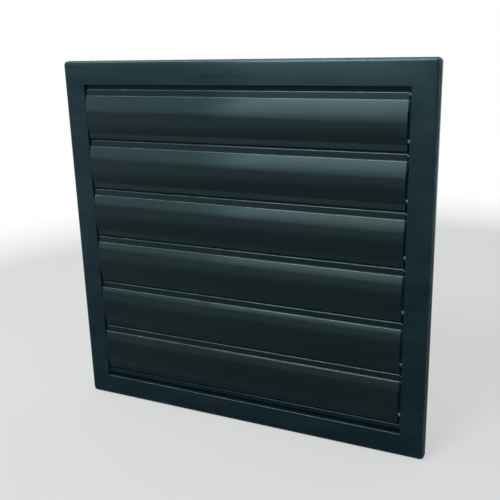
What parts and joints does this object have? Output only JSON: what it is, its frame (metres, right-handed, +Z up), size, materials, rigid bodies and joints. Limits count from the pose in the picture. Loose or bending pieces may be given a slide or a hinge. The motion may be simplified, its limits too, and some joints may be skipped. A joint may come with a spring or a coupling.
{
  "type": "ventilation grille",
  "caption": "Square wall grille with a flat face flange, a duct collar behind it and a bank of curved gravity flaps that swing outwards and fall shut.",
  "frame": {"origin": "centre of the opening, in the plane of the wall that the back of the face flange rests on", "axes": "+X to the right as seen from outside, +Y into the wall along the duct, +Z up; the face looks along -Y"},
  "size_m": [0.35, 0.0346, 0.35],
  "materials": {
    "frame": "satin dark anthracite moulded plastic",
    "flaps": "satin dark anthracite moulded plastic"
  },
  "bodies": {
    "frame": {"frame": "frame"},
    "flap_1": {"flap_1": "flaps"},
    "flap_2": {"flap_2": "flaps"},
    "flap_3": {"flap_3": "flaps"},
    "flap_4": {"flap_4": "flaps"},
    "flap_5": {"flap_5": "flaps"},
    "flap_6": {"flap_6": "flaps"}
  },
  "joints": [
    {"name": "flap_1_hinge", "type": "hinge", "parent": "frame", "child": "flap_1", "pos_m": [0, -0.0018, 0.1461], "axis": [-1, 0, 0], "range_deg": [0, 80]},
    {"name": "flap_2_hinge", "type": "hinge", "parent": "frame", "child": "flap_2", "pos_m": [0, -0.0018, 0.09725], "axis": [-1, 0, 0], "range_deg": [0, 80]},
    {"name": "flap_3_hinge", "type": "hinge", "parent": "frame", "child": "flap_3", "pos_m": [0, -0.0018, 0.0484], "axis": [-1, 0, 0], "range_deg": [0, 80]},
    {"name": "flap_4_hinge", "type": "hinge", "parent": "frame", "child": "flap_4", "pos_m": [0, -0.0018, -0.00045], "axis": [-1, 0, 0], "range_deg": [0, 80]},
    {"name": "flap_5_hinge", "type": "hinge", "parent": "frame", "child": "flap_5", "pos_m": [0, -0.0018, -0.0493], "axis": [-1, 0, 0], "range_deg": [0, 80]},
    {"name": "flap_6_hinge", "type": "hinge", "parent": "frame", "child": "flap_6", "pos_m": [0, -0.0018, -0.09815], "axis": [-1, 0, 0], "range_deg": [0, 80]}
  ]
}
